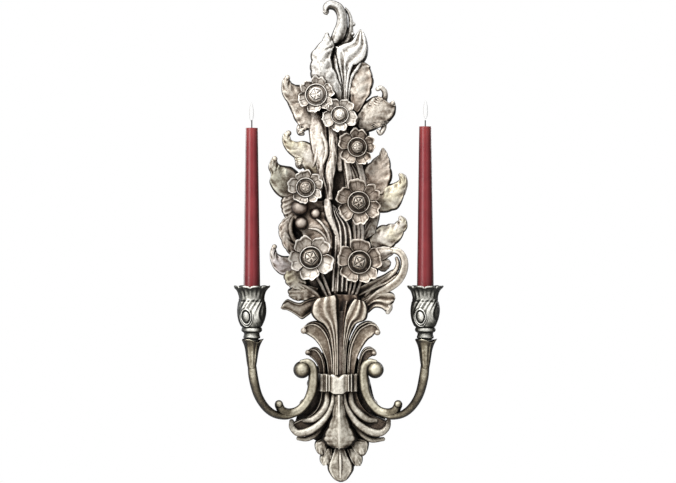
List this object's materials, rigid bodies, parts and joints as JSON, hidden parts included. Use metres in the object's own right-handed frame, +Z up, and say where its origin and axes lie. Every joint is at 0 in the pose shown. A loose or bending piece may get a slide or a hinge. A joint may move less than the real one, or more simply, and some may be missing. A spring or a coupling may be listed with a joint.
{
  "type": "wall sconce candle holder",
  "caption": "Tall wall sconce of pierced cast foliage with dogwood flowers above a banded vase bracket, with curved arms that carry tulip cups for taper candles.",
  "frame": {"origin": "centre of the round entry of the keyhole in the hanger plate, on the wall plane", "axes": "+Z up, +X to the right of someone facing the sconce, +Y into the wall; the room is at -Y"},
  "size_m": [0.276, 0.109, 0.6452],
  "materials": {
    "foliage_metal": "antiqued silver rubbed over brown, with faint green, pink and lilac tints",
    "bracket_metal": "antiqued silver rubbed over brown",
    "band_metal": "antiqued silver rubbed over brown",
    "flower_metal": "antiqued silver, raised edges rubbed pale",
    "button_metal": "antiqued silver rubbed over brown",
    "arm_metal": "granular antiqued silver with an olive brown tint",
    "cup_metal": "antiqued silver grey with dark recesses",
    "steel": "zinc-plated steel",
    "wax": "smooth burgundy candle wax with a soft sheen",
    "wick": "braided cotton, singed at the tip"
  },
  "bodies": {
    "sconce": {"foliage_casting": "foliage_metal", "bracket_casting": "bracket_metal", "clasp_band": "band_metal", "joining_screws": "steel", "arm_screws": "steel", "cup_screws": "steel", "hanger_screws": "steel", "keyhole_hanger": "steel", "flower_head_1": "flower_metal", "flower_button_1": "button_metal", "flower_head_2": "flower_metal", "flower_button_2": "button_metal", "flower_head_3": "flower_metal", "flower_button_3": "button_metal", "flower_head_4": "flower_metal", "flower_button_4": "button_metal", "flower_head_5": "flower_metal", "flower_button_5": "button_metal", "flower_head_6": "flower_metal", "flower_button_6": "button_metal", "flower_head_7": "flower_metal", "flower_button_7": "button_metal", "left_arm": "arm_metal", "left_cup": "cup_metal", "right_arm": "arm_metal", "right_cup": "cup_metal"},
    "left_candle": {"left_candle": "wax", "left_wick": "wick"},
    "right_candle": {"right_candle": "wax", "right_wick": "wick"}
  },
  "joints": [
    {"name": "left_candle_lift", "type": "slide", "parent": "sconce", "child": "left_candle", "axis": [0, 0, 1], "range_m": [0, 0.045]},
    {"name": "right_candle_lift", "type": "slide", "parent": "sconce", "child": "right_candle", "axis": [0, 0, 1], "range_m": [0, 0.045]}
  ]
}
